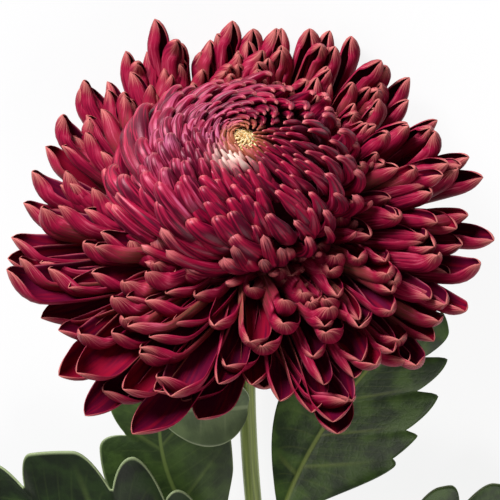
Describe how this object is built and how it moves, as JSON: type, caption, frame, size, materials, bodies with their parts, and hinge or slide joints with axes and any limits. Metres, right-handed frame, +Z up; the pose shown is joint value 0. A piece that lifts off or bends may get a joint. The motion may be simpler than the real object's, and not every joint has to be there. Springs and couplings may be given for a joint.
{
  "type": "bigoudi chrysanthemum",
  "caption": "Cut chrysanthemum lying on its side: dark red incurved bloom over a skirt of channelled florets, on a short leafy stem bent at the neck.",
  "frame": {"origin": "middle of the bottom of the whole flower's box, on the surface it lies on", "axes": "+Y from the cut end of the stem to the bloom, +X to the right seen from above with the bloom away from the viewer, +Z up from the surface"},
  "size_m": [0.1826, 0.2298, 0.0837],
  "materials": {
    "floret_red": "soft velvety petal, dark wine red inside and rose red to salmon outside",
    "young_floret": "soft, pale yellow to cream",
    "stem_green": "firm ribbed stem with short down, satin yellow-green",
    "leaf_green": "supple leaf, satin dark green above and matt grey-green below",
    "bract_green": "thin pale grey-green leaf, matt"
  },
  "bodies": {
    "root": {"bloom": "floret_red", "young_florets": "young_floret", "involucre": "stem_green", "stem": "stem_green", "leaf_1": "leaf_green", "leaf_2": "leaf_green", "leaf_3": "leaf_green", "leaf_4": "leaf_green", "bract_leaf": "bract_green"}
  },
  "joints": []
}
